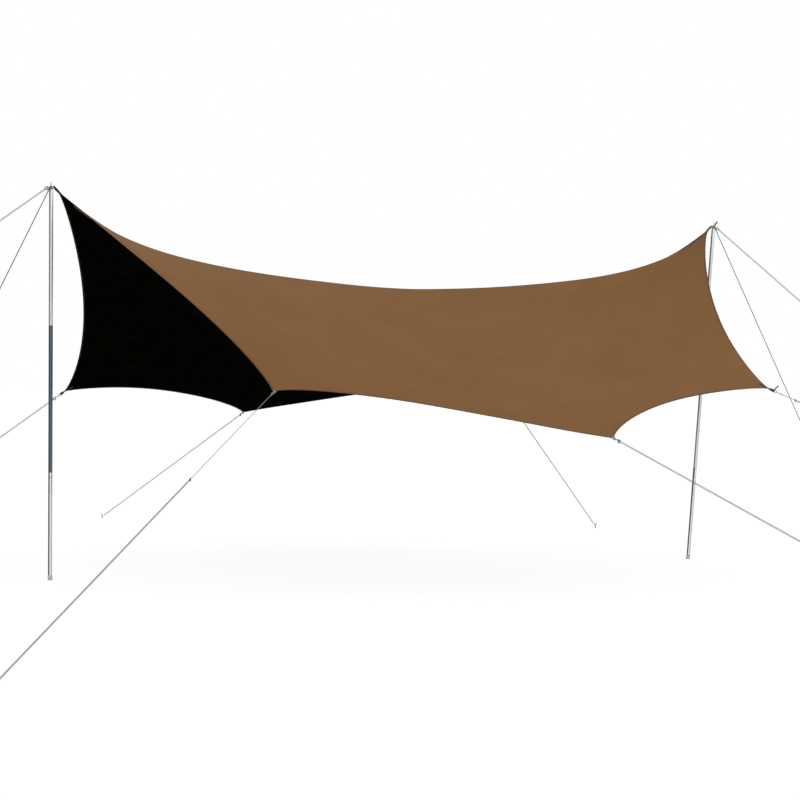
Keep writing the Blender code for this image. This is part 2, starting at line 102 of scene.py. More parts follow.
SLIDER_PLACES = {"near_left": 1.72, "near_right": 0.13}
SLIDER_PLACE = 0.018
PEG_RADIUS = 0.004
PEG_STEM = 0.046
PEG_LEAN = math.radians(20)
PEG_HOOK_RADIUS = 0.010
PEG_HOOK_TURN = math.radians(165)
PEG_EYE_HEIGHT = 0.020
CORNER_PEGS = {
    "near_left": (-5.12, -5.14),
    "near_middle": (0.01, -6.50),
    "near_right": (4.42, -4.20),
    "far_left": (-3.50, 3.12),
    "far_middle": (0.13, 6.50),
    "far_right": (4.30, 3.60),
}
POLE_PEGS = {
    ("left", "near"): (-5.10, -2.34),
    ("left", "far"): (-6.10, 2.78),
    ("right", "near"): (5.66, -1.79),
    ("right", "far"): (6.10, 1.81),
}

# The cloth as it is sewn
CLOTH_THICKNESS = 0.0009
UNDER_RIDGE = (0.0, 0.0, 1.9)
FOLD_HEIGHT = 0.0010
FOLD_REACH = 0.26
WAVE_HEIGHT = 0.0015
CELLS_PER_HALF = 84
CELLS_DOWN_SIDE = 84
EDGE_GRADING = 0.72
WIDTHS_PER_SIDE = 4
TAPE_WIDTH = 0.012
TAPE_STEP = 0.009
SEAM_WIDTH = 0.012
SEAM_HEIGHT = 0.0005
RIDGE_TAPE_WIDTH = 0.022
RIDGE_TAPE_HEIGHT = 0.0009
PATCH_REACH = 0.17
PATCH_HEIGHT = 0.0005
WEB_ON_CLOTH = 0.080
SHORT_WEB_ON_CLOTH = 0.030
DARK_STRAPS = ("near_right", "far_left", "far_right")
WEB_FACES = {"near_left": "under", "near_middle": "under", "far_middle": "top"}
PEAK_WEB_ON_RIDGE = 0.30
WEB_THICKNESS = 0.0016
PEAK_WEB_TILTS = {"left": -0.7, "right": 0.4}
CORNER_WEB_THICKNESS = 0.0030
WEB_EDGE = 0.0012
LINE_SPACING = 0.0072
KNOT_ROOM = 0.030
LINE_RADIUS = 0.0021
SMOOTH_BELOW = math.radians(35)

UP = Vector((0.0, 0.0, 1.0))
TURN = 2 * math.pi


# Shader maths


class Wire:
    """A shader value that can stand in sums, each of which adds a Math node."""

    def __init__(self, shading, socket):
        self.shading = shading
        self.socket = socket

    def output(self, name):
        """Another output of the node that this value comes from."""
        return Wire(self.shading, self.socket.node.outputs[name])

    def math(self, operation, *others):
        return self.shading.node("ShaderNodeMath", {"operation": operation}, [self, *others])

    def __add__(self, other):
        return self.math("ADD", other)

    __radd__ = __add__

    def __sub__(self, other):
        return self.math("SUBTRACT", other)

    def __rsub__(self, other):
        return self.shading.node("ShaderNodeMath", {"operation": "SUBTRACT"}, [other, self])

    def __mul__(self, other):
        return self.math("MULTIPLY", other)

    __rmul__ = __mul__

    def __pow__(self, other):
        return self.math("POWER", other)


class Shading:
    """The nodes of a material or of the world."""

    def __init__(self, owner, shader_name):
        owner.use_nodes = True
        self.nodes = owner.node_tree.nodes
        self.links = owner.node_tree.links
        self.shader = self.nodes[shader_name]

    def feed(self, socket, value):
        """Sets a socket's value, or links it."""
        if isinstance(value, Wire):
            self.links.new(value.socket, socket)
        elif hasattr(value, "__len__") and len(value) == 3 and len(socket.default_value) == 4:
            socket.default_value = (*value, 1.0)
        else:
            socket.default_value = value

    def node(self, kind, settings=None, sockets=(), output=0):
        """Adds a node: its settings first, then its sockets by place or by name."""
        made = self.nodes.new(kind)
        for name, value in (settings or {}).items():
            setattr(made, name, value)
        pairs = sockets.items() if isinstance(sockets, dict) else enumerate(sockets)
        for name, value in pairs:
            self.feed(made.inputs[name], value)
        return Wire(self, made.outputs[output])


class Finish(Shading):
    """One material, made from its constants and then from nodes on what varies."""

    def __init__(self, name, **constants):
        self.material = bpy.data.materials.new(name)
        super().__init__(self.material, "Principled BSDF")
        for socket, value in constants.items():
            self.feed(self.shader.inputs[socket.replace("_", " ")], value)

    def lie(self):
        """The piece's own coordinates, stored on its points: three values in metres."""
        place = self.node("ShaderNodeAttribute", {"attribute_name": "lie"}, output="Vector")
        parts = self.node("ShaderNodeSeparateXYZ", sockets=[place])
        return place, parts, parts.output("Y"), parts.output("Z")

    def noise(self, place, scale, detail=2.0, roughness=0.5):
        sockets = {"Vector": place, "Scale": scale, "Detail": detail, "Roughness": roughness}
        return self.node("ShaderNodeTexNoise", sockets=sockets)

    def stretched(self, place, scale):
        return self.node("ShaderNodeVectorMath", {"operation": "MULTIPLY"}, [place, scale])

    def soft_step(self, value, low, high):
        """0 below low, 1 above high, and smooth between."""
        settings = {"interpolation_type": "SMOOTHSTEP"}
        sockets = {"Value": value, "From Min": low, "From Max": high}
        return self.node("ShaderNodeMapRange", settings, sockets)

    def wave(self, value, length):
        """A sine that repeats at a length."""
        return (value * (TURN / length)).math("SINE")

    def lines(self, value, pitch, power):
        """Narrow ridges, 0 to 1, that repeat at a pitch."""
        return ((value * (TURN / pitch)).math("COSINE") * 0.5 + 0.5) ** power

    def band(self, value, middle, half_width):
        """1 within half a width of a middle, falling to 0 just outside it."""
        return 1 - self.soft_step((value - middle).math("ABSOLUTE"), half_width * 0.6, half_width)

    def mixed(self, factor, first, second):
        """A colour between two."""
        settings = {"data_type": "RGBA", "clamp_factor": True}
        return self.node("ShaderNodeMix", settings, {0: factor, 6: first, 7: second}, output=2)

    def colour(self, value):
        self.feed(self.shader.inputs["Base Color"], value)

    def roughness(self, value):
        self.feed(self.shader.inputs["Roughness"], value)

    def bumps(self, height):
        """Raises the surface by a height in metres."""
        bump = self.node("ShaderNodeBump", sockets={"Strength": 1.0, "Distance": 1.0, "Height": height})
        self.feed(self.shader.inputs["Normal"], bump)


def shade(colour, factor):
    return tuple(channel * factor for channel in colour)


BROWN = (0.197, 0.098, 0.0386)
TAPE_BROWN = (0.130, 0.062, 0.024)
COATING = (0.0011, 0.0011, 0.0006)
WEBBING = (0.042, 0.038, 0.030)
PALE_GREY = (0.24, 0.24, 0.23)
CORD_GREY = (0.27, 0.27, 0.265)


def cloth_finish(name, brown):
    """Ripstop polyester: fine plain weave with a thicker yarn every few millimetres."""
    made = Finish(name, Roughness=0.72, Specular_IOR_Level=0.03)
    place, across, down, _ = made.lie()
    yarn = made.wave(across, 0.00062) * made.wave(down, 0.00062)
    rip = made.lines(across, 0.0055, 14.0).math("MAXIMUM", made.lines(down, 0.0055, 14.0))
    crumple = made.noise(place, 9.0, 5.0, 0.55)
    mottle = made.noise(place, 1.7, 3.0, 0.5)
    made.bumps(yarn * 0.00004 + rip * 0.00008 + crumple * 0.0020)
    tone = made.soft_step(mottle + rip * 0.06, 0.30, 0.75)
    made.colour(made.mixed(tone, shade(brown, 0.965), shade(brown, 1.035)))
    made.roughness(0.66 + crumple * 0.12)
    return made


def coating_finish():
    """The black coating inside: weave softened by a film, with small creases, and a painted highlight that
    lightens the colour on their crowns.
    """
    made = Finish("black_coating", Roughness=0.6, Specular_IOR_Level=0.0)
    place, across, down, _ = made.lie()
    rip = made.lines(across, 0.0055, 10.0).math("MAXIMUM", made.lines(down, 0.0055, 10.0))
    crumple = made.noise(place, 7.0, 6.0, 0.6)
    made.bumps(rip * 0.00005 + crumple * 0.0035)
    # Colour lighter where the crease noise is high: a painted highlight on the crease crowns, not a tone of
    # the coating.
    made.colour(made.mixed(made.soft_step(crumple, 0.35, 0.7), shade(COATING, 0.6), shade(COATING, 1.5)))
    made.roughness(0.5 + crumple * 0.2)
    return made


def tape_finish(name, colour, stitch_places, stitch_tone):
    """Woven tape with ribs across it and rows of stitches along it."""
    made = Finish(name, Roughness=0.8, Specular_IOR_Level=0.2)
    place, along, across, _ = made.lie()
    ribs = made.lines(along + across * 0.35, 0.0013, 1.0)
    stitch_rows = made.band(across, stitch_places[0], 0.0006)
    for middle in stitch_places[1:]:
        stitch_rows = stitch_rows.math("MAXIMUM", made.band(across, middle, 0.0006))
    stitches = stitch_rows * made.soft_step(made.lines(along, 0.0034, 1.0), 0.25, 0.4)
    wear = made.noise(place, 60.0, 3.0, 0.6)
    made.bumps(ribs * 0.00012 + stitches * 0.0002 - stitch_rows * 0.00012)
    cloth = made.mixed(wear, shade(colour, 0.85), shade(colour, 1.15))
    made.colour(made.mixed(stitches, cloth, stitch_tone))
    return made


def webbing_finish(name, colour, box_start, box_length):
    """Heavy webbing with herringbone ribs, sewn down with a boxed cross."""
    made = Finish(name, Roughness=0.75, Specular_IOR_Level=0.3)
    place, along, across, _ = made.lie()
    slant = across.math("ABSOLUTE")
    ribs = made.lines(along + slant * 0.8, 0.0016, 1.0)
    cords = made.lines(across, 0.0022, 1.5)
    half = CORNER_STRAP_WIDTH / 2 - 0.0022
    from_middle = ((along - (box_start + box_length / 2)) * (2 * half / box_length)).math("ABSOLUTE")
    inside = 1 - made.soft_step(from_middle.math("MAXIMUM", slant), half + 0.0004, half + 0.0008)
    cross = made.band(from_middle - slant, 0.0, 0.0008)
    frame_line = made.band(from_middle.math("MAXIMUM", slant), half, 0.0007)
    sewn = inside * cross.math("MAXIMUM", frame_line)
    stitches = sewn * made.soft_step(made.lines(along + across * 0.6, 0.0032, 1.0), 0.2, 0.4)
    wear = made.noise(place, 45.0, 4.0, 0.6)
    made.bumps(ribs * 0.00018 + cords * 0.00008 + stitches * 0.0003 - sewn * 0.0002)
    cloth = made.mixed(wear, shade(colour, 0.7), shade(colour, 1.3))
    made.colour(made.mixed(stitches, cloth, shade(colour, 2.2)))
    return made


def cord_finish():
    """Braided cord: two sets of strands that cross, with a darker tracer yarn and painted shade in the
    grooves between the strands.
    """
    made = Finish("pale_cord", Roughness=0.7, Specular_IOR_Level=0.3)
    _, along, cosine, sine = made.lie()
    turns = along * (TURN / 0.0085)
    twice_cosine = cosine * cosine - sine * sine
    twice_sine = cosine * sine * 2
    across_one = turns.math("SINE") * twice_cosine + turns.math("COSINE") * twice_sine
    across_two = turns.math("SINE") * twice_cosine - turns.math("COSINE") * twice_sine
    strands = across_one.math("MAXIMUM", across_two)
    tracer = made.soft_step(turns.math("SINE") * cosine + turns.math("COSINE") * sine, 0.93, 0.99)
    made.bumps(strands * 0.00025)
    # Darker colour in the grooves between strands and paler on their tops: painted shade, following the
    # strand bump.
    painted_groove_shade = made.soft_step(strands, 0.1, 0.9)
    pale = made.mixed(painted_groove_shade, shade(CORD_GREY, 0.62), shade(CORD_GREY, 1.1))
    made.colour(made.mixed(tracer * 0.6, pale, (0.08, 0.08, 0.08)))
    return made


def steel_finish(name, colour, roughness, streaks, metallic=1.0):
    """Drawn steel tube: streaks along it, fine scratches and faint water marks."""
    made = Finish(name, Metallic=metallic)
    place = made.lie()[0]
    streak_noise = made.noise(made.stretched(place, (1.2, 28.0, 28.0)), 1.0, 5.0, 0.65)
    marks = made.noise(made.stretched(place, (14.0, 1.5, 1.5)), 1.0, 3.0, 0.6)
    made.bumps(streak_noise * 0.00006)
    dull = made.soft_step(marks, 0.45, 0.8)
    made.colour(made.mixed(streak_noise * streaks + dull * 0.25, colour, shade(colour, 0.62)))
    made.roughness(roughness + streak_noise * 0.10 + dull * 0.08)
    return made


def slate_finish():
    """A dark slate-blue lacquer over the tube, with rubbed places and fine scuffs."""
    made = Finish("slate_lacquer", Metallic=0.55, Coat_Weight=0.35, Coat_Roughness=0.15)
    place = made.lie()[0]
    scuffs = made.noise(made.stretched(place, (60.0, 6.0, 6.0)), 1.0, 6.0, 0.7)
    rubbed = made.soft_step(scuffs, 0.62, 0.74)
    made.colour(made.mixed(rubbed * 0.5, (0.075, 0.115, 0.145), (0.18, 0.22, 0.25)))
    made.roughness(0.30 + rubbed * 0.25)
    made.bumps(scuffs * 0.00004)
    return made


def plain_steel_finish(name, colour, roughness):
    """Plated steel of rings, eyelets, pins and pegs, with small pits."""
    made = Finish(name, Metallic=1.0)
    place = made.node("ShaderNodeTexCoord", output="Object")
    pits = made.noise(place, 420.0, 3.0, 0.6)
    stain = made.noise(place, 35.0, 4.0, 0.6)
    made.bumps(pits * 0.00008)
    made.colour(made.mixed(made.soft_step(stain, 0.4, 0.75), colour, shade(colour, 0.55)))
    made.roughness(roughness + stain * 0.2)
    return made


def moulded_finish(name, colour, roughness, grain):
    """Moulded plastic or rubber with a fine grain, dustier where it is rough."""
    made = Finish(name, Specular_IOR_Level=0.4)
    place = made.node("ShaderNodeTexCoord", output="Object")
    fine = made.noise(place, 900.0, 2.0, 0.5)
    dust = made.noise(place, 40.0, 5.0, 0.6)
    made.bumps(fine * grain)
    made.colour(made.mixed(made.soft_step(dust, 0.5, 0.8), colour, tuple(c * 1.5 + 0.02 for c in colour)))
    made.roughness(roughness + dust * 0.15)
    return made


OUTER_CLOTH = cloth_finish("brown_ripstop", BROWN)
INNER_COATING = coating_finish()
EDGE_TAPE = tape_finish("edge_tape", TAPE_BROWN, (0.0085, -0.0085), shade(TAPE_BROWN, 1.4))
SEAM_CLOTH = tape_finish("sewn_seam", BROWN, (0.0042, -0.0042), shade(BROWN, 0.94))
INNER_TAPE = tape_finish("inner_edge_tape", shade(COATING, 1.6), (0.0085, -0.0085), shade(COATING, 4.0))
DARK_WEBBING = webbing_finish("dark_webbing", WEBBING, 0.004, WEB_ON_CLOTH - 0.012)
PALE_WEBBING = webbing_finish("pale_webbing", PALE_GREY, 0.004, WEB_ON_CLOTH - 0.012)
PALE_CORD = cord_finish()
BRIGHT_STEEL = steel_finish("bright_steel_tube", (0.84, 0.85, 0.84), 0.26, 0.20)
GREY_STEEL = steel_finish("grey_steel_tube", (0.76, 0.77, 0.78), 0.30, 0.20, metallic=0.85)
SLATE_STEEL = slate_finish()
FITTING_STEEL = plain_steel_finish("fitting_steel", (0.30, 0.30, 0.30), 0.25)
PEG_STEEL = plain_steel_finish("peg_steel", (0.45, 0.45, 0.45), 0.3)
SLIDER_PLASTIC = moulded_finish("slider_plastic", (0.10, 0.10, 0.10), 0.45, 0.00003)
BOOT_RUBBER = moulded_finish("boot_rubber", (0.42, 0.42, 0.40), 0.75, 0.00006)


# Making pieces


def placed(name, data):
    """A new object in the scene."""
    made = bpy.data.objects.new(name, data)
    bpy.context.scene.collection.objects.link(made)
    return made


def add_piece(name, points, faces, finishes, lie=None, second=0):
    """A piece of the shelter. The last faces, second of them, take the second finish."""
    mesh = bpy.data.meshes.new(name)
    mesh.from_pydata([tuple(point) for point in points], [], faces)
    for finish in finishes:
        mesh.materials.append(finish.material)
    if second:
        numbers = np.zeros(len(faces), dtype=np.int32)
        numbers[-second:] = 1
        mesh.polygons.foreach_set("material_index", numbers)
    if lie is not None:
        stored = mesh.attributes.new("lie", "FLOAT_VECTOR", "POINT")
        stored.data.foreach_set("vector", np.asarray(lie, dtype=np.float32).ravel())
    mesh.shade_smooth()
    mesh.set_sharp_from_angle(angle=SMOOTH_BELOW)
    made = placed(name, mesh)
    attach(made, "root")
    return made


def grid_faces(rows, columns, start=0, wrap_columns=False, wrap_rows=False, flip=False):
    """Quads between the points of a grid, listed row by row."""
    faces = []
    for row in range(rows if wrap_rows else rows - 1):
        below = (row + 1) % rows
        for column in range(columns if wrap_columns else columns - 1):
            beside = (column + 1) % columns
            face = (
                start + row * columns + column,
                start + row * columns + beside,
                start + below * columns + beside,
                start + below * columns + column,
            )
            faces.append(face[::-1] if flip else face)
    return faces


def end_caps(rings, sides):
    """The two end faces of a bar whose points are listed ring by ring."""
    last = (rings - 1) * sides
    return [tuple(reversed(range(sides))), tuple(range(last, last + sides))]


def bar_faces(rings, sides):
    """All the faces of such a bar."""
    return grid_faces(rings, sides, wrap_columns=True) + end_caps(rings, sides)


def sheet_faces(rows, columns):
    """A sheet of two like grids: its upper face with the rim, and its lower face."""
    count = rows * columns
    rim = [*range(columns)]
    rim += [row * columns + columns - 1 for row in range(1, rows)]
    rim += [count - 1 - column for column in range(1, columns)]
    rim += [row * columns for row in range(rows - 2, 0, -1)]
    upper = grid_faces(rows, columns)
    for first, second in zip(rim, rim[1:] + rim[:1]):
        upper.append((second, first, first + count, second + count))
    return upper, grid_faces(rows, columns, start=count, flip=True)


def run_lengths(path):
    """How far along a path each of its points is."""
    steps = np.linalg.norm(np.diff(np.asarray(path, float), axis=0), axis=1)
    return np.concatenate(([0.0], np.cumsum(steps)))


def carried_frames(path):
    """Two directions across a path at each point, turned as little as possible along it."""
    spots = [Vector(point) for point in path]
    frames = []
    side = None
    for i in range(len(spots)):
        along = (spots[min(i + 1, len(spots) - 1)] - spots[max(i - 1, 0)]).normalized()
        if side is None:
            side = along.orthogonal().normalized()
        side = (side - along * side.dot(along)).normalized()
        frames.append((side, along.cross(side)))
    return frames


def round_section(radius, sides):
    turns = [TURN * number / sides for number in range(sides)]
    return [(radius * math.cos(turn), radius * math.sin(turn)) for turn in turns]


def arc(middle, first, second, turns):
    """Points round a middle, from the two ways that lie at no turn and at a quarter turn."""
    return [middle + first * math.cos(turn) + second * math.sin(turn) for turn in turns]


def rod(name, path, radius, finish, sides=10, lowest=None):
    """A round bar or cord along a path, with closed ends."""
    frames = carried_frames(path)
    lengths = run_lengths(path)
    points, lie = [], []
    for spot, (side, other), length in zip(path, frames, lengths):
        for cosine, sine in round_section(1.0, sides):
            point = Vector(spot) + (side * cosine + other * sine) * radius
            if lowest is not None:
                point.z = max(point.z, lowest)
            points.append(point)
            lie.append((length, cosine, sine))
    return add_piece(name, points, bar_faces(len(path), sides), [finish], lie)


def ring_bar(name, path, section, finish):
    """A closed bar: a section of (outwards, sideways) points carried round a closed, flat path."""
    spots = [Vector(point) for point in path]
    middle = sum(spots, Vector()) / len(spots)
    normal = (spots[1] - spots[0]).cross(spots[2] - spots[1]).normalized()
    points = []
    for i, spot in enumerate(spots):
        along = (spots[(i + 1) % len(spots)] - spots[i - 1]).normalized()
        out = along.cross(normal).normalized()
        if out.dot(spot - middle) < 0:
            out = -out
        for outwards, sideways in section:
            points.append(spot + out * outwards + normal * sideways)
    faces = grid_faces(len(spots), len(section), wrap_columns=True, wrap_rows=True)
    return add_piece(name, points, faces, [finish])


def bevelled(half_width, half_height, off_width, off_height):
    """A flat section with its four corners cut off."""
    lower = [(-half_width, off_height - half_height), (off_width - half_width, -half_height)]
    lower += [(half_width - off_width, -half_height), (half_width, off_height - half_height)]
    return lower + [(-across, -up) for across, up in lower]


def turned(name, profile, place, finish, slot, sides=40, lowest=None):
    """A shape turned about a frame's own Z, from (radius, height) points down its outside."""
    points, lie, rings = [], [], []
    for radius, height in profile:
        ring = []
        for cosine, sine in round_section(1.0, sides if radius > 0 else 1):
            spot = place @ Vector((radius * cosine, radius * sine, height))
            if lowest is not None:
                spot.z = max(spot.z, lowest)
            ring.append(len(points))
            points.append(spot)
            lie.append((height, cosine, sine))
        rings.append(ring)
    faces = []
    for upper, lower in zip(rings, rings[1:]):
        for number in range(sides):
            beside = (number + 1) % sides
            if len(upper) == 1:
                faces.append((upper[0], lower[number], lower[beside]))
            elif len(lower) == 1:
                faces.append((upper[beside], upper[number], lower[0]))
            else:
                faces.append((upper[beside], upper[number], lower[number], lower[beside]))
    return add_piece(name, points, faces, [finish], lie)


def smooth_path(points, steps):
    """A smooth curve through points."""
    spots = [Vector(point) for point in points]
    spots = [spots[0] * 2 - spots[1]] + spots + [spots[-1] * 2 - spots[-2]]
    path = []
    for a, b, c, d in zip(spots, spots[1:], spots[2:], spots[3:]):
        for step in range(steps):
            t = step / steps
            bend = (a * 2 - b * 5 + c * 4 - d) * t**2
            twist = (b * 3 - a - c * 3 + d) * t**3
            path.append((b * 2 + (c - a) * t + bend + twist) / 2)
    path.append(spots[-2])
    return path


# Directions, as in the part's source


def unit(vector):
    return Vector(vector).normalized()


def peg_axis(spot, pulled_from):
    """The peg's own direction, leaning away from the pull, and the level way to the pull."""
    towards = unit((pulled_from.x - spot[0], pulled_from.y - spot[1], 0.0))
    return (UP * math.cos(PEG_LEAN) - towards * math.sin(PEG_LEAN)), towards


def peg_eye(spot, pulled_from):
    axis, _ = peg_axis(spot, pulled_from)
    return Vector((*spot, 0.0)) + axis * (PEG_EYE_HEIGHT / axis.z)


def pull_direction(corner):
    """The way a corner's strap and guy line pull."""
    tip = Vector(CORNER_TIPS[corner])
    return unit(peg_eye(CORNER_PEGS[corner], tip) - tip)


def tip_across(name):
    if name in PEAK_TIPS:
        return Vector((0.0, 1.0, 0.0))
    return unit(UP.cross(pull_direction(name)))


def tip_middle(name):
    return Vector(PEAK_TIPS[name] if name in PEAK_TIPS else CORNER_TIPS[name])


def tip_end(name, other):
    across = tip_across(name)
    towards = tip_middle(other) - tip_middle(name)
    return tip_middle(name) + across * math.copysign(TIP_HALF_WIDTH, across.dot(towards))


def ring_middle(corner):
    tip = Vector(CORNER_TIPS[corner])
    return tip + pull_direction(corner) * (STRAP_LENGTHS[corner] - RING_SINK + RING_RADIUS)


def pole_frame(side):
    """The pole's own axes: +Z up the pole, +X towards the canopy, origin at its foot."""
    foot_x, foot_y = POLE_FEET[side]
    top_x, top_y = POLE_TOPS[side]
    rise = math.sqrt(POLE_LENGTH**2 - (top_x - foot_x) ** 2 - (top_y - foot_y) ** 2)
    up = unit((top_x - foot_x, top_y - foot_y, rise))
    inwards = Vector((1.0 if side == "left" else -1.0, 0.0, 0.0))
    across = up.cross(inwards).normalized()
    place = Matrix((across.cross(up), across, up)).transposed().to_4x4()
    place.translation = (foot_x, foot_y, 0.0)
    return place


# The canopy's shape, by the same net as in the part's source but finer


def ridge_point(share):
    left, right, middle = Vector(PEAK_TIPS["left"]), Vector(PEAK_TIPS["right"]), Vector(RIDGE_MIDDLE)
    x = left.x + (right.x - left.x) * share
    peak = left if x < middle.x else right
    gentle_share, gentle_power, steep_power = RIDGE_CLIMBS["left" if x < middle.x else "right"]
    reach = abs((x - middle.x) / (peak.x - middle.x))
    climb = gentle_share * reach**gentle_power + (1 - gentle_share) * reach**steep_power
    return np.array((x, 0.0, middle.z + (peak.z - middle.z) * climb))


def edge_point(first, second, share):
    """A point on the hollow cut edge between two cloth tips."""
    if (first, second) not in EDGE_HOLLOWS:
        first, second, share = second, first, 1 - share
    depth, lean = EDGE_HOLLOWS[first, second]
    start, end = tip_end(first, second), tip_end(second, first)
    hub_x, hub_y, hub_z = SIDE_HUB
    hub = Vector((hub_x, math.copysign(hub_y, start.y + end.y), hub_z))
    chord = (end - start).normalized()
    inwards = hub - (start + end) / 2
    inwards = (inwards - chord * inwards.dot(chord)).normalized()
    drawn_in = depth * (4 * share * (1 - share)) ** HOLLOW_POWER * (1 + lean * (2 * share - 1))
    return np.array(start.lerp(end, share) + inwards * drawn_in)


def spaced(cells, tip_share):
    """Shares from 0 to 1 in small steps at both ends, with the cut-off tips' own steps."""
    even = np.linspace(0.0, 1.0, cells + 1)[1:-1]
    graded = even - EDGE_GRADING * np.sin(TURN * even) / TURN
    inner = tip_share + (1 - 2 * tip_share) * graded
    return np.concatenate(([0.0, tip_share], inner, [1 - tip_share, 1.0]))


def second_difference(shares, length):
    """The second derivative at the inner ones of uneven samples, as a matrix."""
    steps = np.diff(shares) * length
    rows = np.zeros((len(shares) - 2, len(shares)))
    for i, (before, after) in enumerate(zip(steps, steps[1:])):
        rows[i, i] = 2 / (before * (before + after))
        rows[i, i + 2] = 2 / (after * (before + after))
        rows[i, i + 1] = -rows[i, i] - rows[i, i + 2]
    return rows


def stretch_net(net, down, along):
    """Pulls the inner points of a net taut between its fixed edges."""
    down_values, down_modes = np.linalg.eig(down[:, 1:-1])
    along_values, along_modes = np.linalg.eig(along[:, 1:-1])
    for axis in range(3):
        sheet = net[:, :, axis].copy()
        sheet[1:-1, 1:-1] = 0.0
        pull = -(down @ sheet[:, 1:-1] + sheet[1:-1, :] @ along.T)
        modes = np.linalg.solve(down_modes, pull) @ np.linalg.inv(along_modes).T
        modes = modes / (down_values[:, None] + along_values[None, :])
        net[1:-1, 1:-1, axis] = np.real(down_modes @ modes @ along_modes.T)


def side_net(side):
    """Points of one side of the canopy, [row down from the ridge][place along it]."""
    left, middle, right = f"{side}_left", f"{side}_middle", f"{side}_right"
    ridge_length = PEAK_TIPS["right"][0] - PEAK_TIPS["left"][0]
    drop_length = (Vector(CORNER_TIPS[middle]) - Vector(RIDGE_MIDDLE)).length
    half = spaced(CELLS_PER_HALF, 2 * TIP_HALF_WIDTH / ridge_length)
    along_shares = np.concatenate((half / 2, 0.5 + half[1:] / 2))
    down_shares = spaced(CELLS_DOWN_SIDE, TIP_HALF_WIDTH / drop_length)
    net = np.zeros((len(down_shares), len(along_shares), 3))
    net[0] = [ridge_point(share) for share in along_shares]
    edges = (
        (net[-1, : len(half)], half, left, middle),
        (net[-1, len(half) - 1 :], half, middle, right),
        (net[:, 0], down_shares, "left", left),
        (net[:, -1], down_shares, "right", right),
    )
    for line, shares, first, second in edges:
        line[0], line[-1] = tip_middle(first), tip_middle(second)
        inner = (shares[1:-1] - shares[1]) / (shares[-2] - shares[1])
        line[1:-1] = [edge_point(first, second, share) for share in inner]
    along = PULL_ALONG * second_difference(along_shares, ridge_length)
    stretch_net(net, second_difference(down_shares, drop_length), along)
    return net


def unit_rows(vectors):
    return vectors / np.linalg.norm(vectors, axis=-1, keepdims=True)


def net_normals(net):
    """Directions out of the cloth's brown face, at each point of a net of rows from near to far."""
    out = np.cross(np.gradient(net, axis=1), np.gradient(net, axis=0))
    for row, inner_row in ((0, 1), (-1, -2)):
        for column, inner_column in ((0, 1), (-1, -2)):
            out[row, column] = out[inner_row, inner_column]
    return unit_rows(out)


def travelled(net, axis):
    """Distance along each line of a net from its start."""
    steps = np.linalg.norm(np.diff(net, axis=axis), axis=-1)
    zero = np.zeros_like(np.take(steps, [0], axis=axis))
    return np.concatenate((zero, np.cumsum(steps, axis=axis)), axis=axis)


def tension_folds(net, normals):
    """Small folds: fans from each pulled corner, and slow waves over the whole cloth."""
    lift = np.zeros(net.shape[:2])
    for number, name in enumerate([*PEAK_TIPS, *CORNER_TIPS]):
        tip, across = np.array(tip_middle(name)), np.array(tip_across(name))
        offset = net - tip
        reach = np.linalg.norm(offset, axis=-1)
        inwards = unit_rows(np.array(UNDER_RIDGE) - tip)
        angle = np.arctan2(offset @ across, offset @ inwards)
        fan = np.sin(19 * angle + 1.3 * number) + 0.7 * np.sin(31 * angle + 2.1 * number + 1.0)
        lift += FOLD_HEIGHT * fan * (reach / FOLD_REACH) * np.exp(-reach / FOLD_REACH)
    x, y = net[..., 0], net[..., 1]
    slow = np.sin(2.9 * x + 1.7 * y + 0.4) * np.sin(3.7 * y - 1.1 * x + 1.9)
    slow += 0.5 * np.sin(6.1 * x - 4.3 * y)
    return net + normals * (lift + WAVE_HEIGHT * slow)[..., None]


NEAR_NET, FAR_NET = side_net("near"), side_net("far")
RIDGE_ROW = len(NEAR_NET) - 1
MIDDLE_COLUMN = NEAR_NET.shape[1] // 2
SMOOTH_NET = np.concatenate((NEAR_NET[::-1], FAR_NET[1:]))
CLOTH_NET = tension_folds(SMOOTH_NET, net_normals(SMOOTH_NET))
CLOTH_NORMALS = net_normals(CLOTH_NET)
ROWS, COLUMNS = CLOTH_NET.shape[:2]
CLOTH_TREE = BVHTree.FromPolygons(CLOTH_NET.reshape(-1, 3).tolist(), grid_faces(ROWS, COLUMNS))


def on_cloth(point, height):
    """The place on the cloth nearest to a point, raised from its middle by a height."""
    spot, normal, _, _ = CLOTH_TREE.find_nearest(Vector(point))
    if normal.z < 0:
        normal = -normal
    return spot + normal * height


def make_canopy():
    """One sheet over both sides: brown face, black face and cut rim."""
    half = CLOTH_THICKNESS / 2
    upper = (CLOTH_NET + CLOTH_NORMALS * half).reshape(-1, 3)
    lower = (CLOTH_NET - CLOTH_NORMALS * half).reshape(-1, 3)
    across, back = travelled(CLOTH_NET, 1), travelled(CLOTH_NET[:, ::-1], 1)[:, ::-1]
    down, up = travelled(CLOTH_NET, 0), travelled(CLOTH_NET[::-1], 0)[::-1]
    from_edge = np.minimum.reduce([across, back, down, up])
    across = across - across[:, MIDDLE_COLUMN : MIDDLE_COLUMN + 1]
    down = down - down[RIDGE_ROW : RIDGE_ROW + 1]
    lie = np.stack((across, down, from_edge), axis=-1).reshape(-1, 3)
    spots, lie = np.concatenate((upper, lower)), np.concatenate((lie, lie))
    outer, inner = sheet_faces(ROWS, COLUMNS)
    finishes = [OUTER_CLOTH, INNER_COATING]
    canopy = add_piece("canopy_cloth", spots, outer + inner, finishes, lie, second=len(inner))
    for side in ("near", "far"):
        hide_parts(*[f"canopy_{side}_{number}" for number in range(1, WIDTHS_PER_SIDE + 1)])
    return canopy


def points_at(places, lengths, points):
    """The points at some places along a line."""
    return np.stack([np.interp(places, lengths, points[:, axis]) for axis in range(3)], axis=-1)


def resampled(points, step):
    """The same line at even steps."""
    lengths = run_lengths(points)
    count = max(2, round(lengths[-1] / step) + 1)
    places = np.linspace(0.0, lengths[-1], count)
    return points_at(places, lengths, points), places


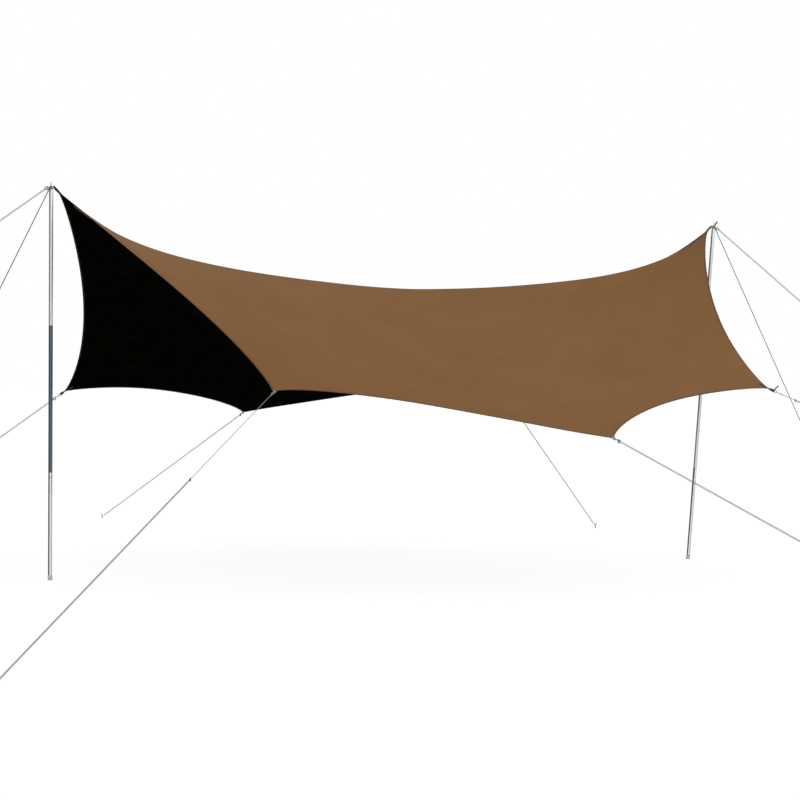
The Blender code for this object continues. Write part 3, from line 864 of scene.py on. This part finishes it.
def cut_edges():
    """Each cut edge by its two tips: its points, and the next line of points inside it."""
    last, middle, ridge = COLUMNS - 1, MIDDLE_COLUMN, RIDGE_ROW
    net = CLOTH_NET
    return {
        ("near_left", "near_middle"): (net[0, 1:middle], net[1, 1:middle]),
        ("near_middle", "near_right"): (net[0, middle + 1 : last], net[1, middle + 1 : last]),
        ("far_left", "far_middle"): (net[-1, 1:middle], net[-2, 1:middle]),
        ("far_middle", "far_right"): (net[-1, middle + 1 : last], net[-2, middle + 1 : last]),
        ("near_left", "left"): (net[1:ridge, 0], net[1:ridge, 1]),
        ("left", "far_left"): (net[ridge + 1 : -1, 0], net[ridge + 1 : -1, 1]),
        ("near_right", "right"): (net[1:ridge, last], net[1:ridge, last - 1]),
        ("right", "far_right"): (net[ridge + 1 : -1, last], net[ridge + 1 : -1, last - 1]),
    }


def make_edge_tape(number, line, inside):
    """Tape folded over one cut edge, puckered a little by its stitching."""
    points, places = resampled(line, TAPE_STEP)
    inner, _ = resampled(inside, TAPE_STEP)
    inner = points_at(np.linspace(0, 1, len(points)), np.linspace(0, 1, len(inner)), inner)
    along = unit_rows(np.gradient(points, axis=0))
    inwards = inner - points
    inwards = unit_rows(inwards - along * np.sum(inwards * along, axis=1, keepdims=True))
    normals = np.cross(inwards, along)
    normals *= np.sign(normals[:, 2:3])
    pucker = np.sin(TURN * places / 0.041 + number) + 0.6 * np.sin(TURN * places / 0.067 + 2.3 * number)
    width, half = TAPE_WIDTH, CLOTH_THICKNESS / 2
    outer = ((width, half + 0.0008), (width - 0.0012, half + 0.0013), (width * 0.5, half + 0.0013))
    outer += ((0.0020, half + 0.0014), (-0.0004, half + 0.0006))
    section = outer + tuple((inset, -height) for inset, height in reversed(outer))
    spots, lie = [], []
    for i, place in enumerate(places):
        for inset, height in section:
            lift = height + 0.0002 * pucker[i]
            spots.append(points[i] + inwards[i] * (inset + 0.0004 * pucker[i]) + normals[i] * lift)
            lie.append((place, math.copysign(inset, height), 0.0))
    ring = len(section)
    faces = grid_faces(len(places), ring, wrap_columns=True)
    under = [face for k, face in enumerate(faces) if len(outer) - 1 <= k % ring < ring - 1]
    over = [face for k, face in enumerate(faces) if not len(outer) - 1 <= k % ring < ring - 1]
    over += end_caps(len(places), ring)
    name, finishes = f"edge_tape_{number}", [EDGE_TAPE, INNER_TAPE]
    return add_piece(name, spots, over + under, finishes, lie, second=len(under))


def cloth_strip(name, line, sides, width, height):
    """A strip sewn on the cloth along a line, with sides as the ways across it."""
    places = run_lengths(line)
    top = CLOTH_THICKNESS / 2 + height
    section = [(-0.5 * width, 0.0), (-0.5 * width, top * 0.85)]
    section += [(share * width, top) for share in (-0.46, -0.2, 0.0, 0.2, 0.46)]
    section += [(0.5 * width, top * 0.85), (0.5 * width, 0.0)]
    spots, lie = [], []
    for spot, across, place in zip(line, sides, places):
        for offset, lift in section:
            spots.append(on_cloth(Vector(spot) + Vector(across) * offset, lift))
            lie.append((place, offset, 0.0))
    return add_piece(name, spots, bar_faces(len(line), len(section)), [SEAM_CLOTH], lie)


def make_seams():
    """Felled seams between the sewn widths, and the ridge seam's tape."""
    made = []
    shares = np.linspace(0, 1, WIDTHS_PER_SIDE + 1)[1:-1]
    for number, share in enumerate(shares, start=1):
        column = int(round(np.interp(share, [0, 0.5, 1], [0, MIDDLE_COLUMN, COLUMNS - 1])))
        line = CLOTH_NET[3:-3, column]
        sides = unit_rows(CLOTH_NET[3:-3, column + 1] - line)
        made.append(cloth_strip(f"seam_{number}", line, sides, SEAM_WIDTH, SEAM_HEIGHT))
    line = CLOTH_NET[RIDGE_ROW, 3:-3]
    sides = unit_rows(CLOTH_NET[RIDGE_ROW + 1, 3:-3] - CLOTH_NET[RIDGE_ROW - 1, 3:-3])
    made.append(cloth_strip("ridge_seam", line, sides, RIDGE_TAPE_WIDTH, RIDGE_TAPE_HEIGHT))
    return made


def make_patch(name, edges, face):
    """A three-cornered patch at a tip, on the brown face (1) or the black one (-1)."""
    lines = []
    for (first, second), (line, _) in edges.items():
        if name in (first, second):
            ordered = line if first == name else line[::-1]
            lines.append((ordered, run_lengths(ordered)))
    (one, one_lengths), (two, two_lengths) = lines
    steps, slices = 12, 14
    top = face * (CLOTH_THICKNESS / 2 + PATCH_HEIGHT)
    grid, lie = [], []
    for step in range(steps + 1):
        reach = PATCH_REACH * step / steps
        start = points_at(reach, one_lengths, one)
        end = points_at(reach, two_lengths, two)
        for cut in range(slices + 1):
            share = cut / slices
            bow = 0.10 * reach * 4 * share * (1 - share)
            inwards = unit_rows(np.array(UNDER_RIDGE) - start)
            grid.append(start + (end - start) * share + inwards * bow)
            lie.append(((share - 0.5) * np.linalg.norm(end - start), PATCH_REACH - reach, 0.0))
    upper = [on_cloth(spot, top) for spot in grid]
    lower = [on_cloth(spot, 0.0) for spot in grid]
    outer, inner = sheet_faces(steps + 1, slices + 1)
    finish = OUTER_CLOTH if face > 0 else INNER_COATING
    label = "outer" if face > 0 else "inner"
    return add_piece(f"patch_{name}_{label}", upper + lower, outer + inner, [finish], lie + lie)


# Webbing, rings and eyelets


def band(name, path, acrosses, width, thickness, finish):
    """Webbing along a path, with its two edges a little thinner."""
    spots, lie = [], []
    places = run_lengths(path)
    section = bevelled(width / 2, thickness / 2, WEB_EDGE, thickness / 4)
    for i, (spot, across) in enumerate(zip(path, acrosses)):
        before, after = path[max(i - 1, 0)], path[min(i + 1, len(path) - 1)]
        along = (Vector(after) - Vector(before)).normalized()
        across = (across - along * across.dot(along)).normalized()
        normal = along.cross(across)
        for offset, height in section:
            spots.append(Vector(spot) + across * offset + normal * height)
            lie.append((places[i], offset, 0.0))
    return add_piece(name, spots, bar_faces(len(path), len(section)), [finish], lie)


def make_corner_web(corner):
    """Webbing sewn to a corner, turned on edge beyond the cloth and folded round its ring."""
    tip, pull, across = Vector(CORNER_TIPS[corner]), pull_direction(corner), tip_across(corner)
    up = pull.cross(across)
    inwards = unit(Vector(UNDER_RIDGE) - tip)
    rest = CLOTH_THICKNESS / 2 + 0.0005 + CORNER_WEB_THICKNESS / 2
    wire = STRAP_LENGTHS[corner] - RING_SINK
    bend = RING_WIRE + CORNER_WEB_THICKNESS / 2
    further = rest + CORNER_WEB_THICKNESS + 0.0003
    lifts = {"both": (rest, -rest), "under": (-rest, -further), "top": (further, rest)}
    face = WEB_FACES.get(corner, "both")
    first_rest, second_rest = lifts[face]

    def on_face(lift):
        sewn = WEB_ON_CLOTH if face == "both" else SHORT_WEB_ON_CLOTH
        steps = [sewn * (1 - step / 7) for step in range(7)]
        return [(on_cloth(tip + inwards * reach, lift), across) for reach in steps]

    def twist(lift, outer):
        turned_layer = []
        for step in range(5):
            share = (step + 1) / 6
            turned = min(share * 1.6, 1.0)
            turn = math.pi / 2 * turned * turned * (3 - 2 * turned)
            out = up * math.cos(turn) + across * math.sin(turn)
            spot = tip + pull * (0.002 + (wire - 0.006) * share) + out * (lift + (outer - lift) * share)
            turned_layer.append((spot, across * math.cos(turn) - up * math.sin(turn)))
        return turned_layer

    fold = []
    for step in range(9):
        turn = math.pi / 2 - math.pi * step / 8
        fold.append((tip + pull * (wire + bend * math.cos(turn)) + across * bend * math.sin(turn), -up))
    out_layer = on_face(first_rest) + twist(first_rest, bend)
    back_layer = on_face(second_rest) + twist(second_rest, -bend)
    path, acrosses = zip(*(out_layer + fold + back_layer[::-1]))
    finish, slot = (DARK_WEBBING, "webbing") if corner in DARK_STRAPS else (PALE_WEBBING, "pale_webbing")
    web = band(f"web_{corner}", path, acrosses, CORNER_STRAP_WIDTH, CORNER_WEB_THICKNESS, finish)
    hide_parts(f"strap_{corner}")
    if corner == "near_right":
        root = tip + pull * (wire - 0.004) + across * (bend + 0.0028)
        tail = smooth_path([root, root + pull * 0.006 + up * 0.022, root + pull * 0.018 + up * 0.050], 5)
        band(f"web_end_{corner}", tail, [pull] * len(tail), 0.009, 0.0018, DARK_WEBBING)
    turns = [TURN * step / 40 for step in range(40)]
    circle = arc(ring_middle(corner), pull * RING_RADIUS, up * RING_RADIUS, turns)
    ring_bar(f"ring_{corner}", circle, round_section(RING_WIRE, 12), FITTING_STEEL)
    return web


def make_peak_web(side):
    """Webbing along the ridge's end, out over the pole top, with a steel eyelet on the pin."""
    place = pole_frame(side)
    height = POLE_LENGTH + 2 * EYE_HEIGHT + FIT_GAP + STRAP_THICKNESS / 2
    behind = place @ Vector((-EYELET_BEHIND_PIN, 0.0, height))
    over = place @ Vector((0.0, 0.0, height))
    beyond = place @ Vector((EYELET_BEYOND_PIN, 0.0, height))
    tip = Vector(PEAK_TIPS[side])
    rest = CLOTH_THICKNESS / 2 + 0.0012 + WEB_THICKNESS / 2
    columns = range(1, COLUMNS - 1) if side == "left" else range(COLUMNS - 2, 0, -1)
    ridge = np.array([CLOTH_NET[RIDGE_ROW, column] for column in columns])
    ridge = ridge[run_lengths(ridge) < PEAK_WEB_ON_RIDGE]
    raised = Vector(CLOTH_NORMALS[RIDGE_ROW, MIDDLE_COLUMN]) * rest
    on_ridge = [Vector(spot) + raised for spot in ridge[::-1]]
    off_cloth = smooth_path([on_ridge[-1], tip.lerp(beyond, 0.5) + UP * rest, beyond, over, behind], 5)[1:]
    path = on_ridge + off_cloth
    acrosses = [Vector((0.0, 1.0, 0.0))] * len(on_ridge)
    for step in range(1, len(off_cloth) + 1):
        tilt = PEAK_WEB_TILTS[side] * math.sin(math.pi * min(step / (len(off_cloth) * 0.55), 1.0))
        acrosses.append(Vector((0.0, math.cos(tilt), math.sin(tilt))))
    web = band(f"web_peak_{side}", path, acrosses, STRAP_WIDTH, WEB_THICKNESS, DARK_WEBBING)
    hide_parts(f"strap_peak_{side}")
    if side == "right":
        rises = ((-0.013, 0.002), (-0.020, 0.020), (-0.036, 0.044))
        tail = smooth_path([place @ Vector((x, 0.0, height + z)) for x, z in rises], 5)
        facing = [Vector((0.87, -0.49, 0.0))] * len(tail)
        band("web_end_peak_right", tail, facing, 0.012, 0.0024, DARK_WEBBING)
    inner, outer, lift = PIN_RADIUS + FIT_GAP, 0.0105, WEB_THICKNESS / 2
    above, below = height + lift, height - lift
    profile = [(inner, above), (inner + 0.0008, above + 0.0011), (outer - 0.002, above + 0.0008)]
    profile += [(outer, above), (outer, below), (outer - 0.002, below - 0.0004)]
    profile += [(inner, below - 0.0004), (inner, above)]
    turned(f"eyelet_{side}", profile, place, FITTING_STEEL, "fitting_steel")
    return web


# Poles


def make_pole(side):
    place = pole_frame(side)
    low, high = POLE_JOINTS
    radius, chamfer, ease, lip = POLE_RADIUS, 0.0012, 0.00036, 0.02
    neck = radius - POLE_WALL - SPIGOT_SPACE
    middle_steel = (SLATE_STEEL, "slate_steel") if side == "left" else (GREY_STEEL, "grey_steel")
    lengths = (
        ("lower", 0.012, low - FIT_GAP, BRIGHT_STEEL, "bright_steel"),
        ("middle", low, high - FIT_GAP, *middle_steel),
        ("upper", high, POLE_LENGTH - 0.010, GREY_STEEL, "grey_steel"),
    )
    for name, bottom, top, finish, slot in lengths:
        profile = [(neck, top - lip), (neck, top), (radius - chamfer, top), (radius - ease, top - ease)]
        profile += [(radius, top - chamfer), (radius, bottom + chamfer), (radius - ease, bottom + ease)]
        profile += [(radius - chamfer, bottom), (neck, bottom), (neck, bottom + lip), (neck, top - lip)]
        tube = turned(f"tube_{side}_{name}", profile, place, finish, slot)
        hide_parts(f"pole_{side}_{name}")
        if name != "lower":
            make_button(f"button_{side}_{name}", place, bottom - 0.035)
    end, tip = POLE_LENGTH, POLE_LENGTH + PIN_LENGTH
    plug = [(0.0, end), (radius - 0.002, end), (radius, end - 0.002), (radius, end - 0.008)]
    plug += [(radius - 0.0015, end - 0.0095), (0.0, end - 0.0095)]
    turned(f"plug_{side}", plug, place, SLIDER_PLASTIC, "slider_plastic")
    pin = [(0.0, tip), (PIN_RADIUS * 0.45, tip - 0.0003), (PIN_RADIUS * 0.85, tip - 0.0016)]
    pin += [(PIN_RADIUS, tip - 0.0040), (PIN_RADIUS, end - 0.005), (0.0, end - 0.005)]
    turned(f"pin_{side}", pin, place, GREY_STEEL, "grey_steel", sides=24)
    make_boot(side, place)


def make_button(name, place, height):
    """The sprung button that locks a plug-in joint."""
    frame_out = Matrix.Translation((0.0, 0.0, height)) @ Matrix.Rotation(math.radians(-110), 4, "Z")
    outwards = place @ frame_out @ Matrix.Rotation(math.pi / 2, 4, "Y")
    cap = ((0.0, 0.0030), (0.0018, 0.0027), (0.0031, 0.0015), (0.0034, -0.0005), (0.0, -0.0005))
    profile = [(radius, POLE_RADIUS + out) for radius, out in cap]
    turned(name, profile, outwards, FITTING_STEEL, "fitting_steel", sides=20)


def make_boot(side, place):
    """The ribbed rubber foot, flat where it stands on the ground."""
    inner = POLE_RADIUS + 0.0001
    profile = [(inner, FOOT_HEIGHT - 0.012), (inner, FOOT_HEIGHT), (FOOT_RADIUS - 0.0010, FOOT_HEIGHT)]
    profile.append((FOOT_RADIUS - 0.0004, FOOT_HEIGHT - 0.0006))
    groove, rib = FOOT_RADIUS - 0.0009, FOOT_RADIUS - 0.0001
    for number in range(3):
        top = FOOT_HEIGHT - 0.006 - number * 0.008
        profile += [(groove, top), (rib, top - 0.0012), (rib, top - 0.0052), (groove, top - 0.0064)]
    profile += [(FOOT_RADIUS - 0.0002, 0.004), (FOOT_RADIUS - 0.0002, -0.004), (0.0, -0.004)]
    boot = turned(f"boot_{side}", profile, place, BOOT_RUBBER, "foot_rubber", lowest=0.0)
    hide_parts(f"pole_{side}_foot")


# Guy lines, sliders and pegs


def across_of(axis, towards):
    return axis.cross(towards).normalized()


def eye_loop(middle, outwards, across, radius):
    """A round eye, from beside the neck right round to its other side."""
    turns = [-EYE_OPENING - (TURN - 2 * EYE_OPENING) * step / 20 for step in range(21)]
    return arc(middle, outwards * radius, across * radius, turns)


def make_guy(name, middle, outwards, across, radius, spot, slider_place):
    """One guy line: its eye, the single line if there is one, its slider, then doubled down to the peg."""
    neck = middle + outwards * EYE_NECK
    axis, towards = peg_axis(spot, neck)
    side = across_of(axis, towards)
    leaving = side.cross(axis)
    lower = peg_eye(spot, neck)
    end = lower + leaving * EYE_NECK
    run = (end - neck).normalized()
    level = unit(UP.cross(run))
    raised = run.cross(level)
    slider = neck + run * slider_place
    eye = eye_loop(middle, outwards, across, radius)
    if slider_place < KNOT_ROOM:
        closing = slider - run * 0.004
        beside = unit(eye[0] - eye[-1]) * (LINE_SPACING / 2)
        upper = [closing + beside] + eye + [closing - beside]
    else:
        knot_turns, knot_length, knot_radius = 2, 0.011, LINE_RADIUS * 1.6
        helix = []
        steps = knot_turns * 12
        for step in range(steps + 1):
            turn = TURN * knot_turns * step / steps
            place = 0.002 + knot_length * (1 - step / steps)
            out = level * math.cos(turn) + raised * math.sin(turn)
            helix.append(neck + run * place + out * knot_radius)
        tail = outwards * 0.016 - raised * 0.006
        tail_path = smooth_path([helix[0] + tail, helix[0] + tail * 0.55 + run * 0.006, helix[0]], 5)[:-1]
        upper = tail_path + helix + eye + [neck] + [slider - run * 0.006]
    line = rod(f"line_{name}", upper, LINE_RADIUS, PALE_CORD)
    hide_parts(f"guy_{name}")
    aside = raised * (LINE_SPACING / 2)
    around = PEG_RADIUS + FIT_GAP + LINE_RADIUS
    turns = [math.pi / 2 + math.pi * step / 12 for step in range(13)]
    loop = arc(lower, leaving * around, side * around, turns)
    below = slider + run * 0.006
    meeting = lower + (slider - lower).normalized() * 0.075
    doubled = [below + aside, meeting + aside] + loop + [meeting - aside, below - aside]
    rod(f"doubled_{name}", doubled, LINE_RADIUS, PALE_CORD)
    make_slider(f"slider_{name}", slider, run, raised, 1.0 if slider_place < KNOT_ROOM else 0.65)


def make_slider(name, middle, run, raised, size):
    """A three-cornered line runner with a wide middle, hanging on its line."""
    top = middle + raised * 0.0075 * size
    corners = [middle - raised * 0.0165 * size, top + run * 0.0150 * size, top - run * 0.0150 * size]
    path = []
    for i, corner in enumerate(corners):
        before, after = corners[i - 1], corners[(i + 1) % 3]
        for step in range(7):
            share = step / 6
            start = corner + (before - corner).normalized() * 0.0062 * size
            stop = corner + (after - corner).normalized() * 0.0062 * size
            path.append(start.lerp(corner, share).lerp(corner.lerp(stop, share), share))
    flat, thick, soft = 0.0026, 0.0032, 0.0008
    ring_bar(name, path, bevelled(flat, thick, soft, soft), SLIDER_PLASTIC)


def make_peg(name, spot, pulled_from):
    """A hooked steel peg, standing out of the ground."""
    axis, towards = peg_axis(spot, pulled_from)
    foot = Vector((*spot, 0.0))
    away = (axis * axis.dot(towards) - towards).normalized()
    path = [foot - axis * 0.004, foot + axis * PEG_STEM * 0.5, foot + axis * PEG_STEM]
    hook_middle = foot + axis * PEG_STEM + away * PEG_HOOK_RADIUS
    turns = [PEG_HOOK_TURN * step / 18 for step in range(1, 19)]
    path += arc(hook_middle, away * -PEG_HOOK_RADIUS, axis * PEG_HOOK_RADIUS, turns)
    peg = rod(f"stake_{name}", path, PEG_RADIUS, PEG_STEEL, sides=16, lowest=0.0)
    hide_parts(f"peg_{name}")


def make_guys():
    for corner, spot in CORNER_PEGS.items():
        pull, across = pull_direction(corner), tip_across(corner)
        rim = ring_middle(corner) + pull * RING_RADIUS
        middle = rim + pull * (EYE_RADIUS - (RING_WIRE + CORD_RADIUS + FIT_GAP))
        place = SLIDER_PLACES.get(corner, SLIDER_PLACE)
        make_guy(corner, middle, pull, across, EYE_RADIUS, spot, place)
        make_peg(corner, spot, Vector(CORNER_TIPS[corner]))
    for (side, row), spot in POLE_PEGS.items():
        place = pole_frame(side)
        height = POLE_LENGTH + EYE_HEIGHT - CORD_RADIUS
        if row == "far":
            height += EYE_HEIGHT
        up = Vector(place.col[2][:3])
        middle = place @ Vector((0.0, 0.0, height))
        outwards = Vector((spot[0] - middle.x, spot[1] - middle.y, 0.0))
        outwards = (outwards - up * outwards.dot(up)).normalized()
        radius = PIN_RADIUS + FIT_GAP + CORD_RADIUS
        name = f"{side}_pole_{row}"
        make_guy(name, middle, outwards, up.cross(outwards), radius, spot, SLIDER_PLACE)
        make_peg(name, spot, Vector((*POLE_TOPS[side], POLE_LENGTH)))


# Floor, light and camera


def make_floor():
    """A plain pale floor, which is no part of the shelter."""
    reach, sides, below = 300.0, 64, -0.0003
    mesh = bpy.data.meshes.new("floor")
    rim = [(x, y, below) for x, y in round_section(reach, sides)]
    mesh.from_pydata(rim, [], [tuple(range(sides))])
    pale = Finish("pale_floor", Roughness=1.0, Specular_IOR_Level=0.0, Base_Color=(0.10, 0.10, 0.10))
    pale.feed(pale.shader.inputs["Emission Color"], (1.0, 1.0, 1.0))
    pale.feed(pale.shader.inputs["Emission Strength"], 0.93)
    mesh.materials.append(pale.material)
    floor = placed("floor", mesh)
    floor.visible_glossy = False


CAMERA_AZIMUTH = math.radians(-29.656)
CAMERA_DISTANCE = 17.377
CAMERA_HEIGHT = 1.444
LOOK_AT = (-0.049, 0.0, 1.312)
CAMERA_ROLL = math.radians(0.799)
CAMERA_LENS = 100.594


def make_camera():
    """The photograph's view: eye height, from in front and well to the left."""
    target = Vector(LOOK_AT)
    eye = Vector((math.sin(CAMERA_AZIMUTH), -math.cos(CAMERA_AZIMUTH), 0.0)) * CAMERA_DISTANCE
    eye += Vector((target.x, 0.0, CAMERA_HEIGHT))
    forward = (target - eye).normalized()
    level = forward.cross(UP).normalized()
    top = level.cross(forward)
    cosine, sine = math.cos(CAMERA_ROLL), math.sin(CAMERA_ROLL)
    right, up = level * cosine + top * sine, top * cosine - level * sine
    data = bpy.data.cameras.new("camera")
    data.sensor_width = 36.0
    data.lens = CAMERA_LENS
    data.clip_end = 2000.0
    camera = placed("camera", data)
    camera.matrix_world = Matrix((right, up, -forward)).transposed().to_4x4()
    camera.matrix_world.translation = eye
    bpy.context.scene.camera = camera


def make_light():
    """White all round. The metal shows a dim left, a bright middle and a grey right of the camera."""
    world = bpy.data.worlds.new("studio")
    bpy.context.scene.world = world
    studio = Shading(world, "Background")
    place = studio.node("ShaderNodeTexCoord", output="Generated")
    right_way = (0.935, -0.355, 0.0)
    turning = {"operation": "DOT_PRODUCT"}
    rightwards = studio.node("ShaderNodeVectorMath", turning, [place, right_way], output="Value")
    rising = {"Value": rightwards, "From Min": -0.64, "From Max": -0.16, "To Min": 0.10, "To Max": 1.35}
    falling = {"Value": rightwards, "From Min": 0.0, "From Max": 0.42, "To Min": 0.0, "To Max": 0.74}
    soft = {"interpolation_type": "SMOOTHSTEP"}
    bright = studio.node("ShaderNodeMapRange", soft, rising)
    in_metal = bright - studio.node("ShaderNodeMapRange", soft, falling)
    ray = studio.node("ShaderNodeLightPath", output="Is Camera Ray")
    all_round = studio.node("ShaderNodeMix", sockets={0: ray.output("Is Glossy Ray"), 2: 0.80, 3: in_metal})
    strength = studio.node("ShaderNodeMix", sockets={0: ray, 2: all_round, 3: 1.0})
    studio.feed(studio.shader.inputs["Strength"], strength)
    studio.feed(studio.shader.inputs["Color"], (1.0, 1.0, 1.0))
    sun = bpy.data.lights.new("soft_key", "SUN")
    sun.energy = 0.85
    sun.angle = math.radians(70)
    lamp = placed("soft_key", sun)
    lamp.rotation_euler = Vector((0.35, -0.55, 0.80)).to_track_quat("Z", "Y").to_euler()
    bpy.context.scene.view_settings.view_transform = "Standard"


def make_shelter():
    canopy = make_canopy()
    edges = cut_edges()
    sewn = [make_edge_tape(number, *lines) for number, lines in enumerate(edges.values(), start=1)]
    sewn += make_seams()
    for name in (*PEAK_TIPS, *CORNER_TIPS):
        sewn += [make_patch(name, edges, face) for face in (1, -1)]
    webs = [make_corner_web(corner) for corner in CORNER_TIPS]
    webs += [make_peak_web(side) for side in PEAK_TIPS]
    for side in PEAK_TIPS:
        make_pole(side)
    make_guys()


make_shelter()
make_floor()
make_light()
make_camera()
